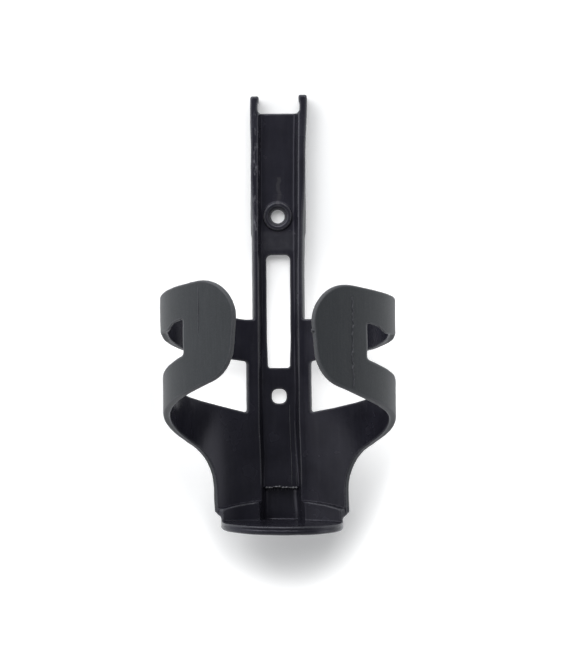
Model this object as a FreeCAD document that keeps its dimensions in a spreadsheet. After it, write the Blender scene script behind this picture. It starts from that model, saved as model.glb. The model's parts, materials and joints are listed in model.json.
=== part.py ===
"""Side-arm water bottle cage for a bicycle frame, one tough nylon moulding.

Millimetres. +Z runs up the bottle, -Y is the open side that faces the rider's hand, +Y faces the frame tube.
The origin is the middle of the two-bolt pattern, on the flat back of the spine.

The wall of the cage lies on one cylinder round the bottle. A place on that wall is an angle from the back of the
bottle, in degrees, and a height. The moulding is split into sections that meet face to face, and each arm is split
from the cradle by a thin slit at the side of the bottle, where it flexes when a bottle goes in.
"""

import FreeCAD
import Part
import Sketcher
import os

SIDES = {"left": -1, "right": 1}

# Driving dimensions: name, value, what it is. Angles are measured round the bottle from the back.
DIMENSIONS = [
    ("hole_spacing", 64, "between the two frame bolts, the bicycle standard"),
    ("hole_diameter", 5.3, "clearance for an M5 bolt"),
    ("bore", 36.4, "inner radius of the wall, which grips a 73 mm bottle"),
    ("wall", 2.5, "thickness of the curved wall"),
    ("axis_depth", 41.5, "from the back of the spine to the bottle's axis"),
    ("web", 2.4, "thickness of the spine's web"),
    ("groove_half", 6.75, "half the width of the groove between the rails"),
    ("rail_back_half", 9.9, "half the spine's width at its back"),
    ("rail_front_half", 8.7, "half the spine's width at the rails' front"),
    ("rail_depth", 6, "depth of the rails"),
    ("rail_top", 74.4, "top of the two prongs"),
    ("web_top", 68.6, "top edge of the web, between the prongs"),
    ("slot_width", 8.4, "long slot in the web"),
    ("slot_top", 18.3, "top of the long slot"),
    ("slot_bottom", -21.9, "bottom of the long slot"),
    ("slot_round", 1.5, "corner radius of the long slot"),
    ("boss_diameter", 10.2, "ring round the upper bolt hole"),
    ("boss_height", 0.9, "how far the ring stands off the web"),
    ("boss_dish", 7.8, "mouth of the dished seat inside the ring"),
    ("stop_height", 1.2, "how far the stop at the foot of the groove stands off the web"),
    ("stop_top", -48, "top of the stop"),
    ("stop_bottom", -65, "bottom of the stop"),
    ("edge_end", 18.1, "angle where the strip beside the spine ends"),
    ("tab_end", 45, "angle where the rear tab becomes the upper band"),
    ("cradle_end", 37.4, "angle of the cradle's upright front edge"),
    ("flare_end", 48.5, "angle where the cradle's flare becomes the lower band"),
    ("bend", 76, "angle where the lower band's bottom edge bends"),
    ("side", 90, "angle of the slit where the arm flexes"),
    ("slit", 0.3, "half the slit, as an angle"),
    ("flat_start", 95, "angle where the upper band's bottom edge turns level"),
    ("hook_start", 119, "angle where that edge starts to rise to the grip pad"),
    ("pad_start", 131, "angle of the grip pad's upright edge in the side notch"),
    ("nose_start", 143.4, "angle where the grip pad's rounded nose starts"),
    ("nose_end", 163, "angle of the tip of the nose"),
    ("upper_top_back", -4.6, "top edge of the upper band at the spine"),
    ("upper_top_side", 1.4, "top edge of the upper band at the side"),
    ("upper_low_back", -19.6, "bottom edge of the upper band at the spine"),
    ("upper_low_side", -9.9, "bottom edge of the upper band at the side"),
    ("hook_low", -5.6, "bottom edge of the upper band at the grip pad"),
    ("pad_top", 5.5, "top edge of the arm where the grip pad starts"),
    ("nose_top", 6.4, "top of the grip pad where the nose starts"),
    ("nose_mid", -7, "height of the tip of the nose"),
    ("nose_low", -27.1, "bottom of the grip pad where the nose starts"),
    ("pad_low", -29.4, "bottom edge of the arm where the grip pad starts"),
    ("lower_top_back", -37.4, "top edge of the cradle at the spine"),
    ("lower_top_cradle", -34.5, "the same at the cradle's front edge"),
    ("lower_top_flare", -32.7, "the same where the lower band starts"),
    ("lower_top_bend", -27.2, "the same at the bend"),
    ("lower_top_side", -23.7, "top edge of the lower band at the side"),
    ("lower_top_pad", -16.6, "top edge of the lower band at the grip pad"),
    ("lower_low_side", -36.8, "bottom edge of the lower band at the side"),
    ("lower_low_bend", -40.2, "bottom edge of the lower band at the bend"),
    ("flare_low", -50, "bottom edge where the flare ends"),
    ("flare_foot", -63, "height where the flare leaves the upright edge"),
    ("ledge_top", -69, "where the cradle's wall steps in to the foot"),
    ("ledge_low", -71.6, "bottom of the step"),
    ("ledge_slope", 0.9, "fall of the step towards the bottle"),
    ("foot_top", -75, "top of the foot plate, under the bottle"),
    ("foot_plate", 3, "thickness of the foot plate"),
    ("foot_angle", 34.5, "half angle of the foot's wall"),
    ("foot_nose", 20.3, "radius of the foot plate's front edge"),
    ("foot_nose_depth", 14, "from the back of the spine to the centre of that radius"),
    ("foot_groove_half", 6.1, "half the width of the groove in the foot's wall"),
]

doc = FreeCAD.newDocument("bottle_cage")
sheet = doc.addObject("Spreadsheet::Sheet", "sizes")
for row, (name, value, meaning) in enumerate(DIMENSIONS, start=1):
    sheet.set(f"A{row}", meaning)
    sheet.set(f"B{row}", str(value))
    sheet.setAlias(f"B{row}", name)
doc.recompute()

subparts = []


def size(expression):
    """An expression over the sheet's names, such as "bore + wall", as the document's own text."""
    for name, _, _ in sorted(DIMENSIONS, key=lambda entry: -len(entry[0])):
        expression = replace_word(expression, name)
    return expression


def replace_word(text, word):
    """Put the sheet's name before each whole word that names a cell."""
    out = []
    token = ""
    for character in text + " ":
        if character.isalnum() or character in "_.":
            token += character
            continue
        out.append(f"sizes.{token}" if token == word else token)
        out.append(character)
        token = ""
    return "".join(out).rstrip()


def bind(target, **expressions):
    """Bind properties of an object to expressions over the sheet."""
    for name, expression in expressions.items():
        target.setExpression(name.replace("__", "."), size(expression))


def place(target, x, y, z, yaw="0", roll="0"):
    """Bind a Placement: a point, a turn about Z and a turn about the turned X."""
    text = f"placement(vector({x}; {y}; {z}); rotation({yaw}; 0; {roll}))"
    target.setExpression("Placement", size(text))


def keep(target, label):
    """Count an object as a sub-part of the cage."""
    target.Label = label
    subparts.append(target)
    return target


def value(expression):
    """The number that an expression over the sheet stands for now."""
    return float(sheet.evalExpression(size(expression)))


# ------------------------------------------------------------------ sketches

def bind_point(sketch, edge, end, across, up):
    """Fix one end of an edge by its two coordinates."""
    for kind, expression in (("DistanceX", across), ("DistanceY", up)):
        index = sketch.addConstraint(Sketcher.Constraint(kind, -1, 1, edge, end, value(expression)))
        sketch.setExpression(f"Constraints[{index}]", size(expression))


def polygon(sketch, corners):
    """Draw a closed outline of straight lines through corners given as pairs of expressions."""
    points = [FreeCAD.Vector(value(a), value(b), 0) for a, b in corners]
    first = sketch.GeometryCount
    for start, end in zip(points, points[1:] + points[:1]):
        sketch.addGeometry(Part.LineSegment(start, end))
    count = len(points)
    for step in range(count):
        following = first + (step + 1) % count
        sketch.addConstraint(Sketcher.Constraint("Coincident", first + step, 2, following, 1))
    for step, (across, up) in enumerate(corners):
        bind_point(sketch, first + step, 1, across, up)


def circle(sketch, across, up, diameter):
    """Draw a circle about a bound centre."""
    centre = FreeCAD.Vector(value(across), value(up), 0)
    edge = sketch.addGeometry(Part.Circle(centre, FreeCAD.Vector(0, 0, 1), value(diameter) / 2))
    bind_point(sketch, edge, 3, across, up)
    index = sketch.addConstraint(Sketcher.Constraint("Diameter", edge, value(diameter)))
    sketch.setExpression(f"Constraints[{index}]", size(diameter))


def plane_of(body, role):
    """One of a body's own origin planes."""
    return next(feature for feature in body.Origin.OriginFeatures if feature.Role == role)


def body_sketch(body, role, name):
    """A sketch on one of a body's origin planes."""
    sketch = body.newObject("Sketcher::SketchObject", name)
    sketch.AttachmentSupport = [(plane_of(body, role), "")]
    sketch.MapMode = "FlatFace"
    return sketch


# ------------------------------------------------------------------ the spine

def make_web():
    """The spine's flat web, with its long slot and two bolt holes."""
    body = doc.addObject("PartDesign::Body", "web_body")
    outline = body_sketch(body, "XZ_Plane", "web_outline")
    polygon(outline, [("-groove_half", "foot_top"), ("groove_half", "foot_top"),
                      ("groove_half", "web_top"), ("-groove_half", "web_top")])
    circle(outline, "0", "hole_spacing / 2", "hole_diameter")
    circle(outline, "0", "-hole_spacing / 2", "hole_diameter")
    polygon(outline, [("-slot_width / 2", "slot_bottom"), ("slot_width / 2", "slot_bottom"),
                      ("slot_width / 2", "slot_top"), ("-slot_width / 2", "slot_top")])
    pad = body.newObject("PartDesign::Pad", "web_pad")
    pad.Profile = outline
    bind(pad, Length="web")
    doc.recompute()
    rounding = body.newObject("PartDesign::Fillet", "slot_rounding")
    rounding.Base = (pad, slot_corners(pad.Shape))
    bind(rounding, Radius="slot_round")
    return keep(body, "spine_web")


def slot_corners(shape):
    """Names of the four edges through the web at the slot's corners."""
    half = value("slot_width / 2")
    names = []
    for number, edge in enumerate(shape.Edges, start=1):
        box = edge.BoundBox
        through = box.YLength > value("web") / 2 and box.XLength < 0.01 and box.ZLength < 0.01
        if through and abs(abs(box.XMin) - half) < 0.01:
            names.append(f"Edge{number}")
    return names


def make_rail(side, sign):
    """One rail of the spine. It runs on above the web as a prong, and its outer face tapers forward."""
    sketch = doc.addObject("Sketcher::SketchObject", f"rail_section_{side}")
    polygon(sketch, [(f"{sign} * groove_half", "0"), (f"{sign} * rail_back_half", "0"),
                     (f"{sign} * rail_front_half", "-rail_depth"), (f"{sign} * groove_half", "-rail_depth")])
    rail = doc.addObject("Part::Extrusion", f"rail_{side}")
    rail.Base = sketch
    rail.DirMode = "Custom"
    rail.Dir = FreeCAD.Vector(0, 0, 1)
    rail.Solid = True
    bind(rail, LengthFwd="rail_top - foot_top")
    place(rail, "0", "0", "foot_top")
    return keep(rail, f"{side}_spine_rail")


def make_boss():
    """The raised ring with a dished seat round the upper bolt hole."""
    ring = doc.addObject("Part::Cylinder", "boss_ring")
    bind(ring, Radius="boss_diameter / 2", Height="boss_height")
    dish = doc.addObject("Part::Cone", "boss_dish_cut")
    bind(dish, Radius1="hole_diameter / 2", Radius2="boss_dish / 2", Height="boss_height")
    boss = doc.addObject("Part::Cut", "boss")
    boss.Base = ring
    boss.Tool = dish
    place(boss, "0", "-web", "hole_spacing / 2", roll="90")
    return keep(boss, "upper_bolt_boss")


def make_stop():
    """The low step across the bottom of the groove."""
    block = doc.addObject("Part::Box", "stop")
    bind(block, Length="2 * groove_half", Width="stop_height", Height="stop_top - stop_bottom")
    place(block, "-groove_half", "-web - stop_height", "stop_bottom")
    return keep(block, "groove_stop")


def make_spine_space(rails):
    """Everything the curved wall must keep out of: both rails and the groove between them."""
    groove = doc.addObject("Part::Box", "groove_space")
    bind(groove, Length="2 * foot_groove_half", Width="axis_depth - bore + rail_depth",
         Height="rail_top - foot_top")
    place(groove, "-foot_groove_half", "-(axis_depth - bore + rail_depth)", "foot_top")
    space = doc.addObject("Part::MultiFuse", "spine_space")
    space.Shapes = rails + [groove]
    return space


# ------------------------------------------------------------------ the curved wall

def station(name, sign, angle, low, high):
    """The wall's cross-section at one angle: a rectangle, wall thick, from low to high."""
    section = doc.addObject("Part::Plane", name)
    bind(section, Length="wall", Width=f"({high}) - ({low})")
    place(section, f"{sign} * bore * sin({angle})", f"bore * cos({angle}) - axis_depth", low,
          yaw=f"90 - {sign} * ({angle})", roll="90")
    return section


def between(start, end, share):
    """A station part of the way from one station to another."""
    return tuple(f"({a}) + (({b}) - ({a})) * {share}" for a, b in zip(start, end))


def strip(start, end, steps=4):
    """Stations evenly along a strip whose two edges rise evenly."""
    return [between(start, end, step / steps) for step in range(steps + 1)]


def make_wall(label, sign, stations, tool=None, ruled=False):
    """A piece of the curved wall through its stations, cut clear of a tool where one is given."""
    loft = doc.addObject("Part::Loft", f"{label}_loft")
    loft.Sections = [station(f"{label}_station", sign, *entry) for entry in stations]
    loft.Solid = True
    loft.Ruled = ruled
    if tool is None:
        return keep(loft, label)
    cut = doc.addObject("Part::Cut", f"{label}_cut")
    cut.Base = loft
    cut.Tool = tool
    return keep(cut, label)


def flare_stations(steps=5):
    """The cradle's flare: its bottom edge is a quarter of an ellipse."""
    stations = []
    for step in range(steps + 1):
        turn = f"90 * {step / steps}"
        share = f"(1 - cos({turn}))"
        angle = f"cradle_end + (flare_end - cradle_end) * {share}"
        low = f"flare_foot + (flare_low - flare_foot) * sin({turn})"
        high = f"lower_top_cradle + (lower_top_flare - lower_top_cradle) * {share}"
        stations.append((angle, low, high))
    return stations


def pad_stations(steps=6, last_turn=80):
    """The grip pad: a straight-edged strip, then a nose whose outline is half an ellipse."""
    start = ("pad_start", "pad_low", "pad_top")
    middle = ("nose_start", "nose_low", "nose_top")
    stations = strip(start, middle, steps=2)
    for step in range(1, steps + 1):
        turn = last_turn * step / steps
        angle = f"nose_start + (nose_end - nose_start) * sin({turn})"
        low = f"nose_mid + (nose_low - nose_mid) * cos({turn})"
        high = f"nose_mid + (nose_top - nose_mid) * cos({turn})"
        stations.append((angle, low, high))
    return stations


def make_cradle_side(side, sign, spine_space):
    """The fixed half of one side: strip beside the spine, rear tab, cradle wall and the bands' roots."""
    inside = "edge_end - 6"
    make_wall(f"{side}_spine_edge", sign,
              strip((inside, "ledge_top", "upper_top_back"), ("edge_end", "ledge_top", "upper_top_back"), 2),
              tool=spine_space)

    upper_start = ("edge_end", "upper_low_back", "upper_top_back")
    upper_end = ("side - slit", "upper_low_side", "upper_top_side")
    tab_share = "(tab_end - edge_end) / (side - slit - edge_end)"
    tab = between(upper_start, upper_end, tab_share)
    make_wall(f"{side}_rear_tab", sign, strip(upper_start, tab))
    make_wall(f"{side}_upper_band_root", sign, strip(tab, upper_end))

    cradle_end = ("cradle_end", "ledge_top", "lower_top_cradle")
    make_wall(f"{side}_cradle_wall", sign, strip(("edge_end", "ledge_top", "lower_top_back"), cradle_end))
    make_wall(f"{side}_cradle_flare", sign, flare_stations(), ruled=True)

    flare = ("flare_end", "flare_low", "lower_top_flare")
    bend = ("bend", "lower_low_bend", "lower_top_bend")
    slit = ("side - slit", "lower_low_side", "lower_top_side")
    make_wall(f"{side}_lower_band_root", sign, strip(flare, bend, 3) + strip(bend, slit, 2)[1:], ruled=True)


def make_arm(side, sign):
    """The flexing half of one side: two bands that carry the grip pad."""
    upper_low_flat = "upper_low_side + 0.3"
    slit = ("side + slit", "upper_low_side", "upper_top_side")
    hook = ("pad_start", "hook_low", "pad_top")
    rise = "(pad_top - upper_top_side) / (pad_start - side)"
    flat = ("flat_start", upper_low_flat, f"upper_top_side + (flat_start - side) * {rise}")
    turn = ("hook_start", upper_low_flat, f"upper_top_side + (hook_start - side) * {rise}")
    make_wall(f"{side}_upper_band", sign, [slit] + strip(flat, turn, 3) + strip(turn, hook, 2)[1:], ruled=True)

    lower_start = ("side + slit", "lower_low_side", "lower_top_side")
    lower_end = ("pad_start", "pad_low", "lower_top_pad")
    make_wall(f"{side}_lower_band", sign, strip(lower_start, lower_end))
    make_wall(f"{side}_grip_pad", sign, pad_stations(), ruled=True)


# ------------------------------------------------------------------ the foot

def make_turned(label, sign, outline, half_angle, spine_space):
    """One side of a ring round the bottle's axis, cut clear of the spine."""
    sketch = doc.addObject("Sketcher::SketchObject", f"{label}_outline")
    polygon(sketch, outline)
    place(sketch, "0", "-axis_depth", "0", yaw="90", roll="90")
    ring = doc.addObject("Part::Revolution", f"{label}_ring")
    ring.Source = sketch
    ring.Axis = FreeCAD.Vector(0, 0, -sign)
    ring.Solid = True
    bind(ring, Base__y="-axis_depth", Angle=half_angle)
    cut = doc.addObject("Part::Cut", f"{label}_cut")
    cut.Base = ring
    cut.Tool = spine_space
    return keep(cut, label)


def make_foot_side(side, sign, spine_space):
    """The step under the cradle's wall and the wall of the foot below it."""
    inner = "bore - wall"
    outer = "bore + wall"
    step = [("bore", "ledge_top"), (inner, "ledge_top - ledge_slope"), (inner, "ledge_low"),
            (outer, "ledge_low"), (outer, "ledge_top")]
    make_turned(f"{side}_foot_ledge", sign, step, "cradle_end", spine_space)
    wall = [(inner, "ledge_low"), (inner, "foot_top"), ("bore", "foot_top"),
            ("bore", "ledge_low - wall"), (outer, "ledge_low")]
    make_turned(f"{side}_foot_wall", sign, wall, "foot_angle", spine_space)


def make_foot_plate():
    """The flat plate under the bottle, with a round front edge."""
    wedge = doc.addObject("Part::Cylinder", "plate_wedge")
    bind(wedge, Radius="bore", Height="foot_plate", Angle="2 * foot_angle")
    place(wedge, "0", "-axis_depth", "foot_top - foot_plate", yaw="90 - foot_angle")
    nose = doc.addObject("Part::Cylinder", "plate_nose")
    bind(nose, Radius="foot_nose", Height="foot_plate")
    place(nose, "0", "-foot_nose_depth", "foot_top - foot_plate")
    front = doc.addObject("Part::Box", "plate_front")
    bind(front, Length="2 * foot_nose", Width="foot_nose", Height="foot_plate")
    place(front, "-foot_nose", "-foot_nose_depth - foot_nose", "foot_top - foot_plate")
    half_nose = doc.addObject("Part::Common", "plate_half_nose")
    half_nose.Base = nose
    half_nose.Tool = front
    rear = doc.addObject("Part::Box", "plate_rear")
    bind(rear, Length="2 * foot_nose", Width="foot_nose_depth", Height="foot_plate")
    place(rear, "-foot_nose", "-foot_nose_depth", "foot_top - foot_plate")
    behind = doc.addObject("Part::Common", "plate_behind")
    behind.Base = rear
    behind.Tool = wedge
    tail = doc.addObject("Part::Box", "plate_tail")
    bind(tail, Length="2 * rail_back_half", Width="foot_nose_depth", Height="foot_plate")
    place(tail, "-rail_back_half", "-foot_nose_depth", "foot_top - foot_plate")
    plate = doc.addObject("Part::MultiFuse", "plate")
    plate.Shapes = [half_nose, behind, tail]
    plate.Refine = True
    return keep(plate, "foot_plate")


def main():
    make_web()
    rails = [make_rail(side, sign) for side, sign in SIDES.items()]
    make_boss()
    make_stop()
    spine_space = make_spine_space(rails)
    for side, sign in SIDES.items():
        make_cradle_side(side, sign, spine_space)
        make_arm(side, sign)
        make_foot_side(side, sign, spine_space)
    make_foot_plate()
    doc.recompute()

    for item in doc.Objects:
        if any(word in item.State for word in ("Invalid", "Error")):
            raise RuntimeError(f"{item.Label} did not build")
    os.makedirs("parts", exist_ok=True)
    for item in subparts:
        shape = item.Shape
        if shape.isNull() or not shape.isValid() or len(shape.Solids) != 1:
            raise RuntimeError(f"{item.Label} is not one good solid")
        shape.exportStep(os.path.join("parts", f"{item.Label}.step"))
        box = shape.BoundBox
        print(f"{item.Label:24s} {shape.Volume:9.1f} mm3  x {box.XMin:7.2f} {box.XMax:7.2f}"
              f"  y {box.YMin:7.2f} {box.YMax:7.2f}  z {box.ZMin:7.2f} {box.ZMax:7.2f}")


main()
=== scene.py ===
import json
import math

import bmesh
import bpy
import numpy as np
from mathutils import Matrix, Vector

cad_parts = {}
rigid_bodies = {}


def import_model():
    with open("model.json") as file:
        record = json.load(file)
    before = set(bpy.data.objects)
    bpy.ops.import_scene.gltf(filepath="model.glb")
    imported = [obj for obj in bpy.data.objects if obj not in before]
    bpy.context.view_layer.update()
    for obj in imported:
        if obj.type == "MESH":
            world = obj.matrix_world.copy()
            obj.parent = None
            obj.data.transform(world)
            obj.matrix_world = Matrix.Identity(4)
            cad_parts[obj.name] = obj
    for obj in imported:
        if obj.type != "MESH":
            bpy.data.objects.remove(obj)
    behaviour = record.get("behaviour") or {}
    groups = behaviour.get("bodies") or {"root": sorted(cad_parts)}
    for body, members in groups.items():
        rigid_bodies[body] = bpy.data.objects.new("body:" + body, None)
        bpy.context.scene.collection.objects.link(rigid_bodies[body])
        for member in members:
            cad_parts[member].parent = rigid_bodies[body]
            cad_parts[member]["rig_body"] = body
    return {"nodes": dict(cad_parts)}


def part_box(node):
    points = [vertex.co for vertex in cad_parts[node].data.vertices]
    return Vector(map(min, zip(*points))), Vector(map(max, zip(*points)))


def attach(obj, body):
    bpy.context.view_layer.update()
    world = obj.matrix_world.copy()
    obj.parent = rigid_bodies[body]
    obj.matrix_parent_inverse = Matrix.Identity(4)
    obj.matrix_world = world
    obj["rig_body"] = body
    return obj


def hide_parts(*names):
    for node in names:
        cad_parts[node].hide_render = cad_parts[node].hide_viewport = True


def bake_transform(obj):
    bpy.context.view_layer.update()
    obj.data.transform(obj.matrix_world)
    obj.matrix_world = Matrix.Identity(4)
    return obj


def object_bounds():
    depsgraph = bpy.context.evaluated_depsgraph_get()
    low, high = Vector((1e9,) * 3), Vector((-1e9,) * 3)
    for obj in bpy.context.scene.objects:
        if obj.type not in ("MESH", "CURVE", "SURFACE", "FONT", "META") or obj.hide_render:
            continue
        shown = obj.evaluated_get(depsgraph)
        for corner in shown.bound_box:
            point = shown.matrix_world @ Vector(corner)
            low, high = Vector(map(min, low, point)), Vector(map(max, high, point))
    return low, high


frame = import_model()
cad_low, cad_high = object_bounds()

MM = 0.001
SIDES = {"left": -1, "right": 1}


def node_box(name):
    """A CAD node's lowest and highest corner, in mm."""
    low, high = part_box(name)
    return np.array(low) / MM, np.array(high) / MM


# ------------------------------------------------------------------ sizes, from the frame where it has them

RAIL_LOW, RAIL_HIGH = node_box("right_spine_rail")
WEB_LOW, WEB_HIGH = node_box("spine_web")
BOSS_LOW, BOSS_HIGH = node_box("upper_bolt_boss")
STOP_LOW, STOP_HIGH = node_box("groove_stop")
PLATE_LOW, PLATE_HIGH = node_box("foot_plate")

AXIS_Y = -41.5                          # the bottle's axis
WALL = 2.5                              # thickness of the curved wall
OUTER = node_box("right_lower_band")[1][0]      # radius of the wall's outside
BORE = OUTER - WALL                     # radius of the wall's inside
MIDDLE = (OUTER + BORE) / 2
SOFT_EDGE = 0.62                        # rounding of the wall's rim

RAIL_TOP = RAIL_HIGH[2]
RAIL_FRONT = RAIL_LOW[1]
WEB_TOP = WEB_HIGH[2]
WEB_FRONT = WEB_LOW[1]
HOLE_UPPER = (BOSS_LOW[2] + BOSS_HIGH[2]) / 2
HOLE_LOWER = -HOLE_UPPER                # the origin is midway between the holes
FOOT_TOP = PLATE_HIGH[2]
FOOT_BOTTOM = PLATE_LOW[2]
PLATE_FRONT = PLATE_LOW[1]
PLATE_RADIUS = 21.15                    # radius of the foot plate's round front
LEDGE_TOP = node_box("right_foot_ledge")[1][2]
RING_END = math.radians(37.4)           # how far the foot's ring goes round from the back
STOP_RISE = STOP_HIGH[1] - STOP_LOW[1]
STOP_EDGE = STOP_LOW[2] + 0.7           # where the groove stop ends in a step
STOP_RECESS = 0.7                       # how far the groove's floor is sunk below that step


# ------------------------------------------------------------------ flat outlines

ARC_SHARE = 0.7                         # most of a side that one corner's arc may take
NEARLY_STRAIGHT = math.radians(178)     # a flatter corner than this gets no arc


def rounded_outline(corners, turn_step=8):
    """A closed outline through corners (s, z, radius), each rounded by an arc."""
    points = []
    count = len(corners)
    for index in range(count):
        before = np.array(corners[index - 1][:2], float)
        here = np.array(corners[index][:2], float)
        after = np.array(corners[(index + 1) % count][:2], float)
        radius = corners[index][2]
        back = before - here
        ahead = after - here
        back_length = np.linalg.norm(back)
        ahead_length = np.linalg.norm(ahead)
        back = back / back_length
        ahead = ahead / ahead_length
        opening = math.acos(np.clip(back @ ahead, -1, 1))
        if radius <= 0 or opening > NEARLY_STRAIGHT:
            points.append(here)
            continue
        reach = min(radius / math.tan(opening / 2), ARC_SHARE * back_length, ARC_SHARE * ahead_length)
        radius = reach * math.tan(opening / 2)
        centre = here + (back + ahead) / np.linalg.norm(back + ahead) * radius / math.sin(opening / 2)
        start = here + back * reach - centre
        end = here + ahead * reach - centre
        first = math.atan2(start[1], start[0])
        sweep = (math.atan2(end[1], end[0]) - first + math.pi) % (2 * math.pi) - math.pi
        steps = max(2, int(abs(math.degrees(sweep)) / turn_step) + 1)
        for step in range(steps + 1):
            angle = first + sweep * step / steps
            points.append(centre + radius * np.array([math.cos(angle), math.sin(angle)]))
    return np.array(points)


def outline_distance(points, s, z):
    """Distance from each place (s, z) to a closed outline, negative inside it."""
    nearest = np.full(s.shape, 1e9)
    inside = np.zeros(s.shape, bool)
    for start, end in zip(points, np.roll(points, -1, axis=0)):
        ds, dz = end - start
        from_s = s - start[0]
        from_z = z - start[1]
        share = np.clip((from_s * ds + from_z * dz) / max(ds * ds + dz * dz, 1e-12), 0, 1)
        nearest = np.minimum(nearest, (from_s - ds * share) ** 2 + (from_z - dz * share) ** 2)
        if dz != 0:
            crosses = (start[1] > z) != (end[1] > z)
            inside ^= crosses & (s < start[0] + ds * from_z / dz)
    return np.where(inside, -1, 1) * np.sqrt(nearest)


class Sheet:
    STEP = 0.25
    LOW = np.array([-6.0, -88.0])       # the grid's first corner and size: the whole wall and a margin
    SIZE = np.array([132.0, 104.0])

    def __init__(self, outline, window):
        counts = (self.SIZE / self.STEP).astype(int) + 1
        s = self.LOW[0] + np.arange(counts[0]) * self.STEP
        z = self.LOW[1] + np.arange(counts[1]) * self.STEP
        s, z = np.meshgrid(s, z, indexing="ij")
        outside = outline_distance(outline, s, z)
        hole = outline_distance(window, s, z)
        self.grid = np.maximum(outside, -hole)

    def __call__(self, s, z):
        u = np.clip((s - self.LOW[0]) / self.STEP, 0, self.grid.shape[0] - 1.001)
        v = np.clip((z - self.LOW[1]) / self.STEP, 0, self.grid.shape[1] - 1.001)
        i = u.astype(int)
        j = v.astype(int)
        u = u - i
        v = v - j
        return ((self.grid[i, j] * (1 - u) + self.grid[i + 1, j] * u) * (1 - v)
                + (self.grid[i, j + 1] * (1 - u) + self.grid[i + 1, j + 1] * u) * v)


# The wall unrolled: s is measured round the middle of the wall from the back, z is height, and each
# corner has its rounding radius. The outline runs along the upper band's top to the pad's tip, back
# along the lower band, and down the cradle's front edge. The window is the space between the bands:
# along the upper band, round the notch beside the pad, and back along the lower band.
WALL_OUTLINE = rounded_outline([
    (-5, -4.6, 0), (12.1, -4.6, 4), (107.6, 8.5, 11.6), (104.4, -22.7, 13), (87.4, -29.0, 60),
    (60, -37.9, 40), (39, -46.7, 20), (25.05, -53.5, 17), (24.8, -82, 0), (-5, -82, 0)])
WALL_WINDOW = rounded_outline([
    (11.55, -19.6, 1), (38, -15.4, 40), (53, -12.1, 14), (61, -9.7, 10), (76.0, -9.2, 6),
    (81, -6.6, 8), (86.2, -5.6, 0.5), (86.1, -13.6, 3), (86.4, -17.0, 1.6), (80, -18.9, 8),
    (66, -22.8, 16), (57, -26.0, 30), (38.2, -31.6, 40), (11.55, -37.6, 0.8)])
wall_sheet = Sheet(WALL_OUTLINE, WALL_WINDOW)


# ------------------------------------------------------------------ the solid field

def ramp(value, start, end):
    """0 before start, 1 after end, smooth between."""
    t = np.clip((value - start) / (end - start), 0, 1)
    return t * t * (3 - 2 * t)


def join(a, b, blend):
    """Both solids, with a fillet where they meet."""
    h = np.clip(0.5 + 0.5 * (b - a) / blend, 0, 1)
    return b + (a - b) * h - blend * h * (1 - h)


def cut(a, b, blend):
    """The first solid without the second, with a softened edge."""
    return -join(-a, b, blend)


def common(a, b, radius):
    """What is inside both, with a rounded edge."""
    u = a + radius
    v = b + radius
    return np.minimum(np.maximum(u, v), 0) + np.hypot(np.maximum(u, 0), np.maximum(v, 0)) - radius


def near_notch(z):
    """1 at the heights of the notch between the upper band and the pad."""
    return ramp(z, -22, -17) * (1 - ramp(z, -4, -1))


def curved_wall(x, y, z):
    """The bands, the cradle's wall and the grip pads."""
    radius = np.hypot(x, y - AXIS_Y)
    turn = np.arctan2(x, y - AXIS_Y)
    shell = np.abs(radius - MIDDLE) - WALL / 2
    # beside the pads the window is cut straight back, so its edge follows x alone
    straight = math.pi - np.arcsin(np.clip(x / OUTER, 0, 1))
    degrees = np.degrees(turn)
    beside_pad = ramp(degrees, 92, 106) * (1 - ramp(degrees, 130, 142))
    drawn = beside_pad * near_notch(z)
    rim = wall_sheet((turn + (straight - turn) * drawn) * MIDDLE, z)
    wall_foot = LEDGE_TOP - 3.4         # below this the foot's ring takes over
    return common(shell, np.maximum(rim, wall_foot - z), SOFT_EDGE)


def rail_widths(z):
    """Half the spine's width at its back and at the rails' front, which changes up the spine."""
    back = 9.45 + 0.36 * ramp(z, 24, 26.6) - 0.22 * ramp(z, 36, 48) + 0.41 * ramp(z, 54, 72)
    front = 8.65 + 0.85 * ramp(z, 27, 47) + 0.4 * ramp(z, 55, 72)
    return back, front


def groove_space(x, y, z):
    """The groove down the front of the spine, with sloping sides, which ends on the foot plate."""
    base = 5.9                          # half its width on the web
    mouth = 7.1                         # half its width between the rails' fronts
    depth = WEB_FRONT - RAIL_FRONT
    side = ((x - base) * depth + (y - WEB_FRONT) * (mouth - base)) / math.hypot(depth, mouth - base)
    below = STOP_EDGE - z
    rise = STOP_RISE * ramp(below, -14, -1)
    recess = STOP_RECESS * (1 - ramp(below, 1.5, 10))
    stop = rise * (1 - ramp(below, -0.1, 0.5)) - recess * ramp(below, -0.1, 0.5)
    sink = 0.07 * ramp(z, 18.6, 20)
    swell = 0.2 * ramp(z, 58, 67)
    floor = WEB_FRONT - stop + sink - swell
    trough = -join(-side, -(y - floor), 0.8 + 1.4 * ramp(below, 0, 2))
    return common(trough, np.maximum(FOOT_TOP - 0.8 - z, 2 * RAIL_FRONT - y), 0.3)


def spine_block(x, y, z):
    """Both rails and what is between them, before the groove is cut."""
    back, front = rail_widths(z)
    lean = front - back
    face = ((x - back) * -RAIL_FRONT + y * lean) / np.hypot(RAIL_FRONT, lean)
    block = common(face, np.maximum(y, RAIL_FRONT - y), 0.7)
    return common(block, np.maximum(z - RAIL_TOP, FOOT_BOTTOM - z), 0.8)


def top_notch(x, z):
    """The space between the two prongs, whose tips turn in a little."""
    lip = 0.4 * ramp(z, RAIL_TOP - 3, RAIL_TOP - 1.4)
    return common(x - (7.35 - lip), WEB_TOP - z, 1.3)


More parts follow.
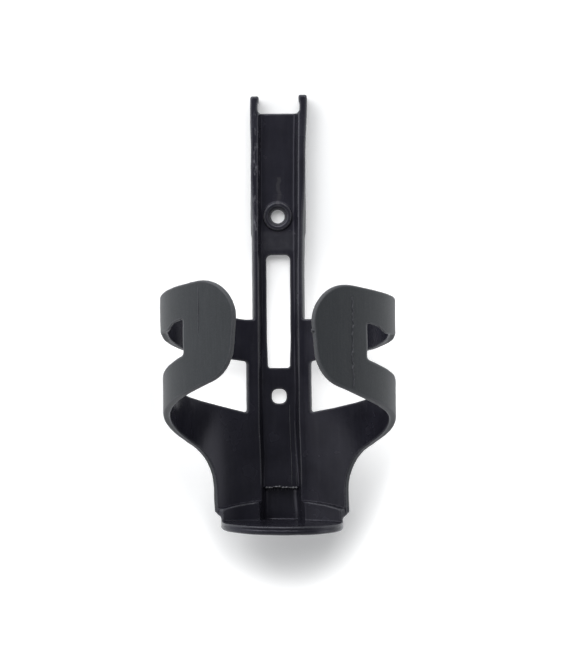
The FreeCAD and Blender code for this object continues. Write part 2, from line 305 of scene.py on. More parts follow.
def tapered_slot(x, z):
    """The long slot in the web."""
    low = -21.9
    high = 18.3
    half = 4.2 - 0.28 * ramp(-z, 10, 22)
    corner = 0.9 + 0.9 * ramp(z, 0, 10)
    return common(x - half, np.abs(z - (low + high) / 2) - (high - low) / 2, corner)


def bolt_holes(solid, x, y, z):
    """The upper hole's ring and dished seat, and both holes."""
    from_upper = np.hypot(x, z - HOLE_UPPER)
    top = BOSS_LOW[1]
    ring_radius = 4.95
    ring = common(from_upper - ring_radius, np.maximum(top - y, y + 0.5), 0.3)
    solid = join(solid, ring, 0.5)
    mouth = 3.5
    throat = 2.5
    dish_depth = 1.6
    upper_radius = 2.42                 # fitted to the photo; the CAD's bolt hole is a little wider
    lower_half = 2.62                   # the lower hole is a little square
    slope = (mouth - throat) / dish_depth
    dish = (from_upper - mouth + (y - top) * slope) / math.hypot(1, slope)
    solid = cut(solid, np.maximum(dish, np.maximum(y - top - dish_depth, top - 1 - y)), 0.35)
    solid = cut(solid, from_upper - upper_radius, 0.25)
    from_lower = (x ** 2.5 + np.abs(z - HOLE_LOWER) ** 2.5 + 1e-6) ** 0.4
    return cut(solid, from_lower - lower_half, 0.35)


def seat_height(x, y):
    """Height of the seat where the cradle's wall steps in to the foot; it falls away from the spine."""
    radius = np.maximum(np.hypot(x, y - AXIS_Y), 1e-6)
    crown = LEDGE_TOP + 0.5             # its height at the spine
    fall = 11.5
    return crown - fall * (1 - (y - AXIS_Y) / radius)


def foot_ring(x, y, z):
    """The step in under the cradle and the foot's wall."""
    radius = np.hypot(x, y - AXIS_Y)
    fall = 2.1                          # how far the step in under the cradle falls
    corner = -72.3                      # the height where it meets the foot's wall
    under = ((radius - OUTER) * fall - (z - corner) * WALL) / math.hypot(fall, WALL)
    outer = np.minimum(np.maximum(radius - OUTER, under), radius - BORE)
    section = np.maximum(outer, np.maximum(BORE - WALL - radius, FOOT_BOTTOM - z))
    dip = 0.06                          # how much the seat falls for each mm inward
    seat = z - seat_height(x, y) + (BORE - radius) * dip
    section = common(section, seat, 0.35)
    half = 23.75 - 2.4 * ramp(corner - z, 0, 2)     # half the foot's width, less below the step
    section = common(section, x - half, 0.5)
    end = (np.arctan2(x, y - AXIS_Y) - RING_END) * radius
    return common(section, end, 0.6)


def foot_plate(x, y, z):
    """The plate under the bottle: a round front, a soft lower edge and a slight rise to its front."""
    centre = PLATE_FRONT + PLATE_RADIUS
    power = 2.25
    ahead = np.maximum(centre - y, 0)
    nose = (np.abs(x) ** power + ahead ** power + 1e-9) ** (1 / power) - PLATE_RADIUS
    plan = np.maximum(nose, np.hypot(x, y - AXIS_Y) - BORE)
    rise = 1.25 * ramp(-y, -6, 46)
    top = FOOT_TOP - 0.8 + rise
    bottom = FOOT_BOTTOM + 0.3 * ramp(-y, 10, 34)
    line = 0.16 * np.exp(-((z - top + 1.15) / 0.2) ** 2)        # a fine groove round its edge
    half_thick = (top - bottom) / 2
    height = z - bottom - half_thick
    edge = 0.45 + 0.45 * ramp(-height, 0, 1.5)
    return common(plan + line, np.abs(height) - half_thick, edge)


def moulding(x, y, z):
    """Signed distance to the whole moulding."""
    x = np.abs(x)
    solid = join(curved_wall(x, y, z), foot_ring(x, y, z), 0.3)
    solid = join(solid, spine_block(x, y, z), 0.8)
    solid = cut(solid, groove_space(x, y, z), 0.5)
    solid = cut(solid, top_notch(x, z), 0.5)
    bore = np.maximum(np.hypot(x, y - AXIS_Y) - BORE, seat_height(x, y) - z)
    solid = cut(solid, bore, 0.15)
    solid = join(solid, foot_plate(x, y, z), 0.45)
    solid = bolt_holes(solid, x, y, z)
    return cut(solid, tapered_slot(x, z), 0.35)


# ------------------------------------------------------------------ meshing

GRID = 0.42                             # mm between samples of the field
BLOCK = 8                               # samples along a block that is filled in or skipped as one
BATCH = 400                             # blocks filled in at a time


def sample_field(low, counts):
    """The field near the surface on a grid; far from it, only its sign is right."""
    blocks = [int(math.ceil(n / BLOCK)) for n in counts]
    centres = [low[a] + (np.arange(blocks[a]) + 0.5) * BLOCK * GRID for a in range(3)]
    cx, cy, cz = np.meshgrid(*centres, indexing="ij")
    rough = moulding(cx, cy, cz)
    total = [n * BLOCK + 1 for n in blocks]
    field = np.repeat(np.repeat(np.repeat(rough, BLOCK, 0), BLOCK, 1), BLOCK, 2)
    field = np.pad(field, ((0, 1), (0, 1), (0, 1)), mode="edge").astype(np.float32)
    half_diagonal = BLOCK * GRID * 0.87
    # the field is least true beside the pads' notch, so blocks further off are filled in there
    reach = half_diagonal * (1.25 + 1.5 * (near_notch(cz) > 0) * (cy < AXIS_Y))
    near = np.argwhere(np.abs(rough) < reach)
    steps = np.arange(BLOCK + 1)
    for part in np.array_split(near, max(1, len(near) // BATCH)):
        i = part[:, 0, None] * BLOCK + steps
        j = part[:, 1, None] * BLOCK + steps
        k = part[:, 2, None] * BLOCK + steps
        x = low[0] + i[:, :, None, None] * GRID
        y = low[1] + j[:, None, :, None] * GRID
        z = low[2] + k[:, None, None, :] * GRID
        x, y, z = np.broadcast_arrays(x, y, z)
        values = moulding(x, y, z)
        field[i[:, :, None, None], j[:, None, :, None], k[:, None, None, :]] = values
    return field, total


def surface_net(low, high):
    """A quad mesh of the moulding's surface: one point in each grid cell that the surface crosses."""
    counts = np.ceil((high - low) / GRID).astype(int) + 1
    field, total = sample_field(low, counts)
    inside = field < 0
    cells = [n - 1 for n in total]
    count = np.zeros(cells, np.int8)
    corners = [(a, b, c) for a in (0, 1) for b in (0, 1) for c in (0, 1)]

    def shifted(array, corner):
        return array[tuple(slice(o, o + n) for o, n in zip(corner, cells))]

    for corner in corners:
        count += shifted(inside, corner)
    active = (count > 0) & (count < 8)
    cell = np.argwhere(active)
    number = np.full(cells, -1, np.int32)
    number[active] = np.arange(len(cell))

    middle = np.zeros((len(cell), 3))
    hits = np.zeros(len(cell))
    for first in corners:
        for axis in range(3):
            if first[axis]:
                continue
            second = tuple(1 if a == axis else first[a] for a in range(3))
            a = shifted(field, first)[active].astype(float)
            b = shifted(field, second)[active].astype(float)
            crossed = (a < 0) != (b < 0)
            share = np.where(crossed, a / np.where(a == b, 1, a - b), 0)
            place = np.array(first, float) + np.eye(3)[axis] * share[:, None]
            middle += place * crossed[:, None]
            hits += crossed
    points = low + (cell + middle / hits[:, None]) * GRID

    quads = []
    for axis in range(3):
        u, v = (axis + 1) % 3, (axis + 2) % 3
        here = [slice(1, n) for n in cells]
        here[axis] = slice(0, cells[axis])
        there = list(here)
        there[axis] = slice(1, cells[axis] + 1)
        change = inside[tuple(here)] != inside[tuple(there)]
        spots = np.argwhere(change) + np.array([0 if a == axis else 1 for a in range(3)])
        outward = inside[tuple(spots.T)]

        def cell_at(du, dv):
            spot = spots.copy()
            spot[:, u] -= du
            spot[:, v] -= dv
            return number[tuple(spot.T)]

        ring = np.stack([cell_at(1, 1), cell_at(0, 1), cell_at(0, 0), cell_at(1, 0)], 1)
        ring[~outward] = ring[~outward][:, ::-1]
        quads.append(ring)
    return points, np.concatenate(quads)


def gradient(points, reach=0.06):
    """Direction away from the solid at each point."""
    columns = []
    for axis in range(3):
        offset = np.eye(3)[axis] * reach
        ahead = moulding(*(points + offset).T)
        behind = moulding(*(points - offset).T)
        columns.append((ahead - behind) / (2 * reach))
    return np.stack(columns, 1)


def settle(points, rounds=4):
    """Points moved onto the field's surface."""
    for _ in range(rounds):
        slope = gradient(points)
        steep = np.maximum((slope ** 2).sum(1), 0.05)
        shift = slope * (moulding(*points.T) / steep)[:, None]
        points = points - np.clip(shift, -GRID / 2, GRID / 2)
    return points


def bend_of(points, reach=0.4):
    """How sharply the surface bends: positive on outer edges, negative in corners."""
    total = -6 * moulding(*points.T)
    for axis in range(3):
        offset = np.eye(3)[axis] * reach
        total += moulding(*(points + offset).T) + moulding(*(points - offset).T)
    return total / reach ** 2


def set_of_mould(points):
    """The finished moulding isn't quite true: the spine bows and widens, and the arms lean and twist."""
    x, y, z = points.T
    turn = np.degrees(np.arctan2(np.abs(x), y - AXIS_Y))
    low = ramp(-z, 22, 32) * (1 - ramp(-z, 56, 66))
    # both ends of the spine and both arms lean to the right
    bow = 2.2e-4 * np.maximum(z - 22, 0) ** 2 + 0.55 * ramp(-z, 38, 60) + 0.3 * ramp(-z, 66, 74)
    lean = np.where(x < 0, 0.48 + 0.75 * ramp(-z, 5, 28), 0.72 - 0.05 * ramp(-z, 5, 28))
    lean *= ramp(turn, 30, 80) * (1 - 0.8 * ramp(turn, 100, 140))
    # the left arm sits higher and the right arm lower
    twist = 0.42 * low * ramp(turn, 12, 42) + (0.88 - 0.42 * low) * ramp(turn, 60, 130)
    # the right prong is longer, the foot hangs lower on the right, and the right rail stands further out
    prong = 0.45 * ramp(z, WEB_TOP, RAIL_TOP) * (x > 0)
    tilt = 0.013 * x * ramp(-z, 68, 75)
    wider = 0.28 * ramp(z, 10, 30) * ramp(x, 5, 8)
    return np.stack([x + bow + lean + wider, y, z - twist * np.sign(x) + prong - tilt], 1)


def waviness(points):
    """Slight sink and swell of a moulded face, in mm."""
    x, y, z = points.T
    return (0.018 * np.sin(0.61 * x + 0.4 * z + 1.3) + 0.014 * np.sin(0.83 * y - 0.52 * z + 0.4)
            + 0.010 * np.sin(1.27 * z + 0.9 * x - 0.7 * y))


def add_object(name, data):
    """An object in the scene that holds a mesh, light or camera."""
    made = bpy.data.objects.new(name, data)
    bpy.context.scene.collection.objects.link(made)
    return made


def make_mesh(name, points, faces, normals, attributes, cap=False):
    """A mesh object from mm points, with its own smooth normals and surface attributes."""
    used, faces = np.unique(faces, return_inverse=True)
    faces = faces.reshape(-1, 4)
    mesh = bpy.data.meshes.new(name)
    mesh.from_pydata((points[used] * MM).tolist(), [], faces.tolist())
    shape = add_object(name, mesh)
    for title, values in attributes.items():
        kind, field = ("FLOAT", "value") if values.ndim == 1 else ("FLOAT_VECTOR", "vector")
        layer = mesh.attributes.new(title, kind, "POINT")
        layer.data.foreach_set(field, values[used].astype(np.float32).ravel())
    if cap:
        work = bmesh.new()
        work.from_mesh(mesh)
        open_edges = [edge for edge in work.edges if edge.is_boundary]
        bmesh.ops.holes_fill(work, edges=open_edges, sides=0)
        work.to_mesh(mesh)
        work.free()
    mesh.polygons.foreach_set("use_smooth", [True] * len(mesh.polygons))
    mesh.normals_split_custom_set_from_vertices(normals[used].tolist())
    mesh.update()
    return shape


margin = 4 * GRID
low = np.array(cad_low) / MM - margin
high = np.array(cad_high) / MM + margin
points, quads = surface_net(low, high)
points = settle(points)
slope = gradient(points)
normals = slope / np.linalg.norm(slope, axis=1, keepdims=True)

# how far each point lies in the groove's foot, where the edges get less of the painted highlight and wear
deep_in = ramp(STOP_EDGE + 2 - points[:, 2], 0, 2) * ramp(points[:, 2], FOOT_TOP, FOOT_TOP + 1)
deep_in *= 1 - ramp(np.abs(points[:, 0]), 8.8, 9.8)
bend = bend_of(points) * (1 - 0.8 * deep_in)

# 1 on the textured outside, 0 on the polished inside
outward = np.stack([points[:, 0], points[:, 1] - AXIS_Y], 1)
outward /= np.linalg.norm(outward, axis=1, keepdims=True)
facing = (normals[:, :2] * outward).sum(1)
from_axis = np.hypot(points[:, 0], points[:, 1] - AXIS_Y)
in_foot = ramp(-points[:, 2], 69, 72)
outside = ramp(facing, -0.45 + 0.65 * in_foot, 0.1 + 0.7 * in_foot) * ramp(from_axis, BORE, MIDDLE)
attributes = {"outside": outside, "bend": bend, "grain": points}
true_points = points
points = set_of_mould(points + normals * waviness(points)[:, None])

CUT_Y = -24                             # the arms' skins start here
FOOT_SIDE = -65                         # everything below this height is the foot
middle = true_points[quads].mean(1)
in_arm = (middle[:, 1] < CUT_Y) & (middle[:, 2] > FOOT_SIDE)
body_skin = make_mesh("cage_moulding", points, quads[~in_arm], normals, attributes, cap=True)
arm_skins = {}
for side, sign in SIDES.items():
    chosen = in_arm & (middle[:, 0] * sign > 0)
    arm_skins[side] = make_mesh(f"{side}_arm_moulding", points, quads[chosen], normals, attributes,
                                cap=True)


# ------------------------------------------------------------------ fine traces of the mould

RIDGE_SECTION = [(-0.5, -0.5), (-0.36, 0.25), (-0.13, 0.9), (0.13, 0.9), (0.36, 0.25), (0.5, -0.5)]
# a bend of 0.9 gives the traces part of the edges' painted highlight and wear
TRACE_FINISH = {"outside": 0.6, "bend": 0.9}


def ridge(name, path, outward, width, rise):
    """A thin closed ridge along a path of mm points; its foot is sunk in the moulding."""
    count = len(path)
    along = np.gradient(path, axis=0)
    along /= np.linalg.norm(along, axis=1, keepdims=True)
    across = np.cross(outward, along)
    across /= np.linalg.norm(across, axis=1, keepdims=True)
    taper = np.sqrt(np.clip(np.minimum(np.arange(count), np.arange(count)[::-1]) / 4 + 0.08, 0, 1))
    rings = [path + across * (side * width * taper)[:, None] + outward * (up * rise * taper)[:, None]
             for side, up in RIDGE_SECTION]
    verts = np.stack(rings, 1).reshape(-1, 3)
    sides = len(RIDGE_SECTION)
    faces = []
    for step in range(count - 1):
        for side in range(sides):
            after = (side + 1) % sides
            faces.append((step * sides + side, step * sides + after,
                          (step + 1) * sides + after, (step + 1) * sides + side))
    faces.append(tuple(range(sides))[::-1])
    faces.append(tuple(range((count - 1) * sides, count * sides)))
    mesh = bpy.data.meshes.new(name)
    mesh.from_pydata((set_of_mould(verts) * MM).tolist(), [], faces)
    for title, value in TRACE_FINISH.items():
        layer = mesh.attributes.new(title, "FLOAT", "POINT")
        layer.data.foreach_set("value", np.full(len(verts), value, np.float32))
    layer = mesh.attributes.new("grain", "FLOAT_VECTOR", "POINT")
    layer.data.foreach_set("vector", verts.astype(np.float32).ravel())
    mesh.polygons.foreach_set("use_smooth", [True] * len(mesh.polygons))
    work = bmesh.new()
    work.from_mesh(mesh)
    bmesh.ops.recalc_face_normals(work, faces=work.faces)
    work.to_mesh(mesh)
    work.free()
    return add_object(name, mesh)


def wander(steps, seed, size, smooth):
    """A smooth random run of numbers about 0."""
    rng = np.random.default_rng(seed)
    rough = np.convolve(rng.normal(size=steps + 2 * smooth), np.hanning(smooth + 2)[1:-1], "same")
    rough = rough[smooth:smooth + steps]
    return size * rough / np.abs(rough).max()


def pad_line(side, around, top, bottom, width, rise, stray, seed):
    """The mould's parting line down the outside of a grip pad."""
    steps = int((top - bottom) / 0.3)
    z = np.linspace(top, bottom, steps)
    angle = (around + wander(steps, seed, stray, 7)) / MIDDLE
    outward = np.stack([SIDES[side] * np.sin(angle), np.cos(angle), 0 * z], 1)
    path = outward * OUTER + np.array([0, AXIS_Y, 0])
    path[:, 2] = z
    height = rise * (1 + wander(steps, seed + 1, 0.6, 3))
    return ridge(f"{side}_pad_parting_line", path, outward, width, height)


def flash_bead():
    """The ragged flash along the edge of the groove stop: short beads in four uneven runs."""
    steps = 150
    pitch = 2.6                         # radians of bead per mm
    x = np.linspace(-5.6, 5.6, steps)
    outward = np.tile([0.0, -0.8, -0.6], (steps, 1))
    y = WEB_FRONT - STOP_RISE + wander(steps, 21, 0.05, 3)
    z = STOP_EDGE + np.interp(x, [-3.2, -2.8, -0.2, 0.2, 5.6], [0, 0.3, 0.34, 0.04, -0.1])
    z += wander(steps, 22, 0.08, 5)
    beads = np.abs(np.sin(x * pitch))
    gaps = 1 - 0.9 * np.exp(-((np.abs(x) - 3.0) / 0.35) ** 2) - 0.9 * np.exp(-(x / 0.35) ** 2)
    size = np.clip(beads * gaps, 0.06, 1) * (1 + wander(steps, 23, 0.35, 3))
    return ridge("groove_stop_flash", np.stack([x, y, z], 1), outward, 0.5 * size, 0.4 * size)


def flash_nibs():
    """The short upright ribs that the torn flash left under the edge of the groove stop."""
    steps = 7
    spacing = 1.3
    nibs = []
    for number in range(9):
        z = STOP_EDGE - np.linspace(-0.1, 1.3, steps)
        x = -5.2 + spacing * number + wander(steps, 51 + number, 0.06, 3)
        y = WEB_FRONT - STOP_RISE + (STOP_RISE + STOP_RECESS) * ramp(STOP_EDGE - z, -0.1, 0.5)
        outward = np.tile([0.0, -1.0, 0.0], (steps, 1))
        height = np.linspace(0.45, 0.2, steps)
        path = np.stack([x, y, z], 1)
        nibs.append(ridge(f"groove_stop_nib_{number + 1}", path, outward, 0.42, height))
    return nibs


def groove_line(name, x, top, width, rise):
    """A faint raised line down the floor of the groove, left by a joint in the mould."""
    bottom = STOP_EDGE + 0.6
    steps = int((top - bottom) / 0.5)
    z = np.linspace(top, bottom, steps)
    below = STOP_EDGE - z
    y = WEB_FRONT - STOP_RISE * ramp(below, -14, -1)
    outward = np.tile([0.0, -1.0, 0.0], (steps, 1))
    height = rise * (1 + wander(steps, 31, 0.4, 3))
    return ridge(name, np.stack([x + 0 * z, y, z], 1), outward, width, height)


def gate_mark():
    """The small stub on the tip of the right pad where the runner was broken off."""
    around = 105.9                      # mm round the wall from the back
    height = -7.75
    angle = around / MIDDLE
    outward = np.array([math.sin(angle), math.cos(angle), 0])
    onward = np.array([math.cos(angle), -math.sin(angle), 0])
    start = outward * (MIDDLE + 0.3) + np.array([0, AXIS_Y, height])
    steps = 12
    reach = np.linspace(-0.8, 0.65, steps)
    path = start + onward * reach[:, None] + np.array([0, 0, 0.12]) * reach[:, None]
    width = 1.5
    rise = np.full(steps, 0.8)
    return ridge("right_pad_gate_mark", path, np.tile(outward, (steps, 1)), width, rise)


left_line = pad_line("left", around=93.4, top=5.2, bottom=-11.2,
                     width=0.42, rise=0.12, stray=0.12, seed=41)
right_line = pad_line("right", around=92.5, top=2.8, bottom=-25.9,
                      width=0.7, rise=0.3, stray=0.5, seed=43)
flash = flash_bead()
traces = {
    "left_arm": [left_line],
    "right_arm": [right_line, gate_mark()],
    "cage_body": [flash, *flash_nibs(),
                  groove_line("groove_line_inner", x=3.7, top=-35, width=0.34, rise=0.10),
                  groove_line("groove_line_outer", x=5.35, top=-40, width=0.3, rise=0.09)]}


# ------------------------------------------------------------------ materials

# linear colours of the nylon
SATIN_DARK = (0.0100, 0.0098, 0.0145, 1)
SATIN_PALE = (0.0155, 0.0152, 0.0220, 1)
SATIN_FLOW = (0.024, 0.024, 0.029, 1)
MATTE_DARK = (0.0105, 0.0122, 0.0150, 1)
MATTE_PALE = (0.0160, 0.0182, 0.0212, 1)
MATTE_CLOUD = (0.0090, 0.0105, 0.0130, 1)
# edges: partly wear, partly a painted highlight
WORN_AND_HIGHLIT_EDGE = (0.085, 0.086, 0.094, 1)
EDGE_SCUFF = (0.20, 0.20, 0.21, 1)
RAIL_SCUFF = (0.17, 0.17, 0.19, 1)
# painted highlights where the web curves round the upper hole
PAINTED_HIGHLIGHT_PATCH = (0.045, 0.045, 0.052, 1)
PAINTED_HIGHLIGHT_STREAK = (0.085, 0.082, 0.085, 1)
TORN = (0.30, 0.30, 0.32, 1)
# tints of its shine
SATIN_SHINE = (0.88, 0.87, 1.0, 1)
MATTE_SHINE = (0.94, 0.97, 1.0, 1)
# the staging
FLOOR_GREY = (0.86, 0.865, 0.87, 1)
DAYLIGHT = (0.96, 0.98, 1.0, 1)
WHITE = (1, 1, 1, 1)


class Nodes:
    """One material's node tree, with a short call for each kind of node."""

    def __init__(self, name):
        self.material = bpy.data.materials.new(name)
        self.material.use_nodes = True
        self.tree = self.material.node_tree
        self.shader = self.tree.nodes["Principled BSDF"]

    def add(self, kind, inputs=None, **settings):
        made = self.tree.nodes.new(kind)
        for key, value in settings.items():
            setattr(made, key, value)
        for key, value in (inputs or {}).items():
            self.put(made, key, value)
        return made

    def put(self, target, key, value):
        socket = target.inputs[key]
        if isinstance(value, bpy.types.NodeSocket):
            self.tree.links.new(value, socket)
        else:
            socket.default_value = value

    def attribute(self, name, output="Fac"):
        return self.add("ShaderNodeAttribute", attribute_name=name).outputs[output]

    def scaled(self, vector, scale):
        return self.add("ShaderNodeMapping", {"Vector": vector, "Scale": scale}).outputs["Vector"]

    def noise(self, vector, scale, detail=2.0, rough=0.5):
        return self.add("ShaderNodeTexNoise", {"Vector": vector, "Scale": scale, "Detail": detail,
                                               "Roughness": rough}).outputs["Fac"]

    def math(self, kind, a, b=0.0, clamp=False):
        return self.add("ShaderNodeMath", {0: a, 1: b}, operation=kind, use_clamp=clamp).outputs[0]

    def spread(self, value, low, high, to_low=0.0, to_high=1.0):
        return self.add("ShaderNodeMapRange", {"Value": value, "From Min": low, "From Max": high,
                                               "To Min": to_low, "To Max": to_high}).outputs["Result"]

    def ease(self, value, low, high):
        return self.add("ShaderNodeMapRange", {"Value": value, "From Min": low, "From Max": high},
                        interpolation_type="SMOOTHSTEP").outputs["Result"]

    def mix(self, factor, a, b):
        made = self.add("ShaderNodeMix", data_type="RGBA")
        self.put(made, "Factor", factor)
        for key, value in ((6, a), (7, b)):
            self.put(made, key, value)
        return made.outputs[2]


def zone(n, grain, low, high, soft):
    """1 within a box of rest positions in mm, fading to 0 over a soft border."""
    split = n.add("ShaderNodeSeparateXYZ", {0: grain})
    mask = 1.0
    for axis, start, end in zip("XYZ", low, high):
        value = split.outputs[axis]
        mask = n.math("MULTIPLY", mask, n.ease(value, start - soft, start))
        mask = n.math("MULTIPLY", mask, n.ease(value, end + soft, end))
    return mask


def scuffs_and_painted_highlights(n, grain, colour):
    """Scuffs on the left rail, a painted highlight patch under the upper hole and a painted highlight
    streak over it.
    """
    chips = n.noise(n.scaled(grain, (1.1, 1.1, 0.26)), 1.0, 5.0, 0.7)
    rail = zone(n, grain, (-8.6, RAIL_FRONT - 1, 27), (-5.2, RAIL_FRONT + 2.6, 69), 0.5)
    scuffs = n.math("MULTIPLY", rail, n.spread(chips, 0.54, 0.70))
    colour = n.mix(n.math("MULTIPLY", scuffs, 0.65), colour, RAIL_SCUFF)
    # painted highlight patch where the web curves under the upper hole
    highlight_patch = zone(n, grain, (-4.6, -5, 20.8), (5.2, -1, 25.8), 1.6)
    cloudy = n.spread(n.noise(grain, 0.35, 3.0), 0.25, 0.6, 0.45, 1.0)
    pale = n.math("MULTIPLY", n.math("MULTIPLY", highlight_patch, cloudy), 0.55)
    colour = n.mix(pale, colour, PAINTED_HIGHLIGHT_PATCH)
    # painted highlight streak along the crease over the upper hole, wandering a little sideways
    sway = n.spread(n.noise(n.scaled(grain, (0.0, 0.0, 0.16)), 1.0, 2.0), 0.3, 0.7, -1.0, 1.0)
    swayed = n.add("ShaderNodeCombineXYZ", {0: sway})
    swayed = n.add("ShaderNodeVectorMath", {0: grain, 1: swayed.outputs[0]}, operation="ADD").outputs[0]
    highlight_streak = zone(n, swayed, (-0.1, -5, 36), (0.5, -1, 45.6), 0.7)
    return n.mix(n.math("MULTIPLY", highlight_streak, 0.22), colour, PAINTED_HIGHLIGHT_STREAK)


def nylon(name, pale=0.0):
    """Black glass-filled nylon: satin where the mould was polished, finely textured outside."""
    n = Nodes(name)
    grain = n.attribute("grain", "Vector")
    outer = n.attribute("outside")
    bend = n.attribute("bend")

    # patterns in rest positions, so they move with the part
    streaks = n.noise(n.scaled(grain, (1.6, 1.6, 0.12)), 1.0, 3.0)
    fine = n.noise(grain, 2.6, 3.0, 0.6)
    cloud = n.noise(grain, 0.09, 3.0)
    flow = n.noise(n.scaled(grain, (0.5, 0.5, 0.05)), 1.0, 4.0, 0.6)

    satin = n.mix(n.spread(cloud, 0.35, 0.65), SATIN_DARK, SATIN_PALE)
    satin = n.mix(n.spread(flow, 0.45, 0.8, 0, 0.35), satin, SATIN_FLOW)
    matte = n.mix(n.spread(streaks, 0.3, 0.7), MATTE_DARK, MATTE_PALE)
    matte = n.mix(n.spread(cloud, 0.3, 0.7, 0, 0.35), matte, MATTE_CLOUD)
    colour = n.mix(outer, satin, matte)

    # outer edges paled, partly by wear and partly as a painted highlight, with a few scuffs along them
    edge = n.spread(bend, 0.35, 1.6)
    worn_and_highlit = n.math("MULTIPLY", edge, n.spread(fine, 0.35, 0.7, 0.4, 1.0))
    colour = n.mix(n.math("MULTIPLY", worn_and_highlit, 0.7), colour, WORN_AND_HIGHLIT_EDGE)
    scuff = n.noise(n.scaled(grain, (1.9, 1.9, 0.55)), 1.0, 5.0, 0.7)
    scuff = n.math("MULTIPLY", n.spread(scuff, 0.64, 0.74), n.spread(bend, 0.5, 1.2))
    colour = n.mix(n.math("MULTIPLY", scuff, 0.5, True), colour, EDGE_SCUFF)
    colour = scuffs_and_painted_highlights(n, grain, colour)
    whitened = n.math("MULTIPLY", n.spread(fine, 0.4, 0.6, 0.5, 1.0), pale)
    colour = n.mix(whitened, colour, TORN)
    n.put(n.shader, "Base Color", colour)

    # finish: the inside is smooth with a weak shine, the outside is rough with a slight sheen
    rough_in = n.spread(cloud, 0.3, 0.7, 0.21, 0.29)
    rough_out = n.spread(fine, 0.3, 0.7, 0.62, 0.78)
    rough = n.add("ShaderNodeMix", {0: outer, 2: rough_in, 3: rough_out}).outputs[0]
    n.put(n.shader, "Roughness", rough)
    shine = n.add("ShaderNodeMix", {0: outer, 2: 0.28, 3: 0.55}).outputs[0]
    n.put(n.shader, "Specular IOR Level", shine)
    n.put(n.shader, "Sheen Weight", n.math("MULTIPLY", outer, 0.18))
    n.shader.inputs["Sheen Roughness"].default_value = 0.42
    n.put(n.shader, "Specular Tint", n.mix(outer, SATIN_SHINE, MATTE_SHINE))

    # relief: fine grain and streaks, stronger outside
    sparkle = n.noise(n.scaled(grain, (3.2, 3.2, 1.1)), 1.0, 4.0, 0.65)
    texture = n.math("ADD", n.math("MULTIPLY", sparkle, 0.7), n.math("MULTIPLY", streaks, 0.5))
    height = n.math("MULTIPLY", texture, n.spread(outer, 0, 1, 0.25, 1.0))
    bump = n.add("ShaderNodeBump", {"Strength": 0.35, "Distance": 0.00012, "Height": height})
    n.put(n.shader, "Normal", bump.outputs["Normal"])
    return n.material


skin_material = nylon("moulded_nylon")
torn_material = nylon("torn_nylon", pale=0.6)
for skin in [body_skin, *arm_skins.values()]:
    skin.data.materials.append(skin_material)
for pieces in traces.values():
    for piece in pieces:
        piece.data.materials.append(torn_material if piece is flash else skin_material)


# ------------------------------------------------------------------ riding on the frame

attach(body_skin, "cage_body")
body_nodes = [name for name, shape in frame["nodes"].items() if shape["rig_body"] == "cage_body"]
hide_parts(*body_nodes)
for side, skin in arm_skins.items():
    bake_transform(skin)
    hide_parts(*[name for name, shape in frame["nodes"].items() if shape["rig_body"] == f"{side}_arm"])
for body, pieces in traces.items():
    for piece in pieces:
        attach(piece, body)


# ------------------------------------------------------------------ floor, light and camera

def backdrop():
    """The pale floor that the cage lies on with its back, seen only from the cage's side."""
    mesh = bpy.data.meshes.new("pale_floor")
    reach = 3.0
    back = 0.3 * MM
    corners = [(x * reach, back, z * reach) for x, z in ((-1, -1), (1, -1), (1, 1), (-1, 1))]
    mesh.from_pydata(corners, [], [(0, 1, 2, 3)])
    floor = add_object("pale_floor", mesh)
    n = Nodes("pale_floor")
    n.put(n.shader, "Base Color", FLOOR_GREY)
    n.shader.inputs["Roughness"].default_value = 0.9
    n.shader.inputs["Specular IOR Level"].default_value = 0.1
    n.shader.inputs["Emission Color"].default_value = WHITE
    # painted light: it glows a little under the cage, more beside the arms, which lifts the cast shadows
    # there, and is pure white further out
    place = n.add("ShaderNodeTexCoord").outputs["Object"]
    lifted = zone(n, n.scaled(place, (1000, 1000, 1000)), (-16, -10, -50), (40, 10, -14), 42)
    glow = n.spread(lifted, 0, 1, 0.14, 0.52)
    wide = n.scaled(place, (1.9, 1, 1))
    away = n.add("ShaderNodeVectorMath", {0: wide, 1: (0, 0, 0.012)}, operation="DISTANCE")
    far_off = n.ease(away.outputs["Value"], 0.098, 0.134)
    n.put(n.shader, "Emission Strength", n.math("ADD", glow, far_off))
    clear = n.add("ShaderNodeBsdfTransparent")
    side = n.add("ShaderNodeNewGeometry").outputs["Backfacing"]
    both = n.add("ShaderNodeMixShader", {0: side, 1: n.shader.outputs[0], 2: clear.outputs[0]})
    n.tree.links.new(both.outputs[0], n.tree.nodes["Material Output"].inputs["Surface"])
    mesh.materials.append(n.material)
    floor.visible_shadow = False
    floor.visible_diffuse = False
    floor.visible_glossy = False
    floor.visible_transmission = False


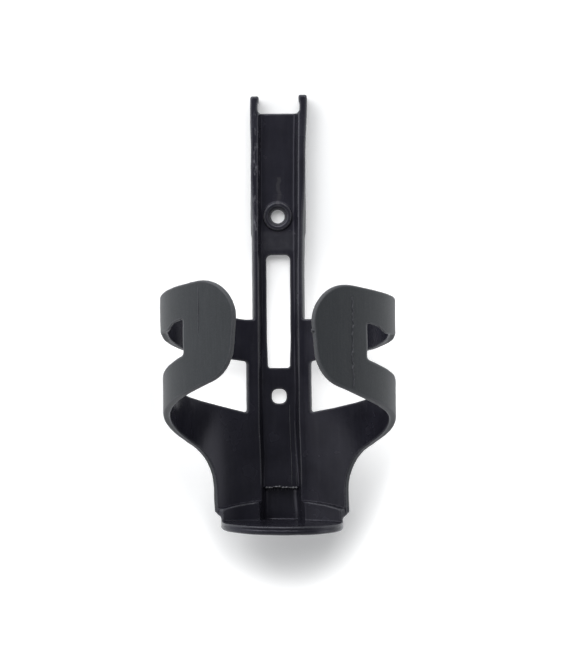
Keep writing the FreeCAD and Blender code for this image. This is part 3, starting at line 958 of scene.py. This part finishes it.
def studio_world(seen, front, behind):
    """White where the camera sees it. On the object, dim from the front and bright from behind."""
    world = bpy.data.worlds.new("studio")
    bpy.context.scene.world = world
    world.use_nodes = True
    tree = world.node_tree
    tree.nodes.clear()
    path = tree.nodes.new("ShaderNodeLightPath")
    direction = tree.nodes.new("ShaderNodeTexCoord").outputs["Generated"]
    split = tree.nodes.new("ShaderNodeSeparateXYZ")
    tree.links.new(direction, split.inputs[0])
    turned = tree.nodes.new("ShaderNodeMapRange")
    turned.interpolation_type = "SMOOTHSTEP"
    tree.links.new(split.outputs["Y"], turned.inputs["Value"])
    for key, value in {"From Min": -0.7, "From Max": 0.1, "To Min": front, "To Max": behind}.items():
        turned.inputs[key].default_value = value
    lit = tree.nodes.new("ShaderNodeBackground")
    lit.inputs["Color"].default_value = DAYLIGHT
    tree.links.new(turned.outputs["Result"], lit.inputs["Strength"])
    shown = tree.nodes.new("ShaderNodeBackground")
    shown.inputs["Color"].default_value = WHITE
    shown.inputs["Strength"].default_value = seen
    mix = tree.nodes.new("ShaderNodeMixShader")
    out = tree.nodes.new("ShaderNodeOutputWorld")
    tree.links.new(path.outputs["Is Camera Ray"], mix.inputs[0])
    tree.links.new(lit.outputs[0], mix.inputs[1])
    tree.links.new(shown.outputs[0], mix.inputs[2])
    tree.links.new(mix.outputs[0], out.inputs["Surface"])


def soft_light(name, place, size, power, aim=(0, -0.03, 0)):
    """A rectangular soft light at a place in metres, pointing at the cage."""
    light = bpy.data.lights.new(name, "AREA")
    light.shape = "RECTANGLE"
    light.size, light.size_y = size
    light.energy = power
    lamp = add_object(name, light)
    lamp.location = place
    lamp.rotation_mode = "QUATERNION"
    lamp.rotation_quaternion = (Vector(aim) - Vector(place)).to_track_quat("-Z", "Y")
    lamp.visible_camera = False


backdrop()
studio_world(seen=1.05, front=0.2, behind=1.0)
soft_light("window_above", place=(-0.2, -0.8, 0.85), size=(1.5, 0.9), power=16)
soft_light("window_left", place=(-0.95, -0.7, 0.4), size=(1.1, 1.1), power=7)
soft_light("fill_right", place=(1.15, -0.25, 0.0), size=(0.6, 0.8), power=1.7)

camera = bpy.data.cameras.new("camera")
camera.lens = 91.9
camera.sensor_width = 36
camera.clip_end = 20
viewer = add_object("camera", camera)
# the 600 mm comes from an assumed 73 mm bottle; the photo doesn't give the distance
viewer.location = Vector((12.92, -600, -8.1)) * MM
viewer.rotation_mode = "XYZ"
viewer.rotation_euler = (math.radians(90), math.radians(0.49), math.radians(0.85))
bpy.context.scene.camera = viewer
bpy.context.scene.view_settings.view_transform = "Standard"
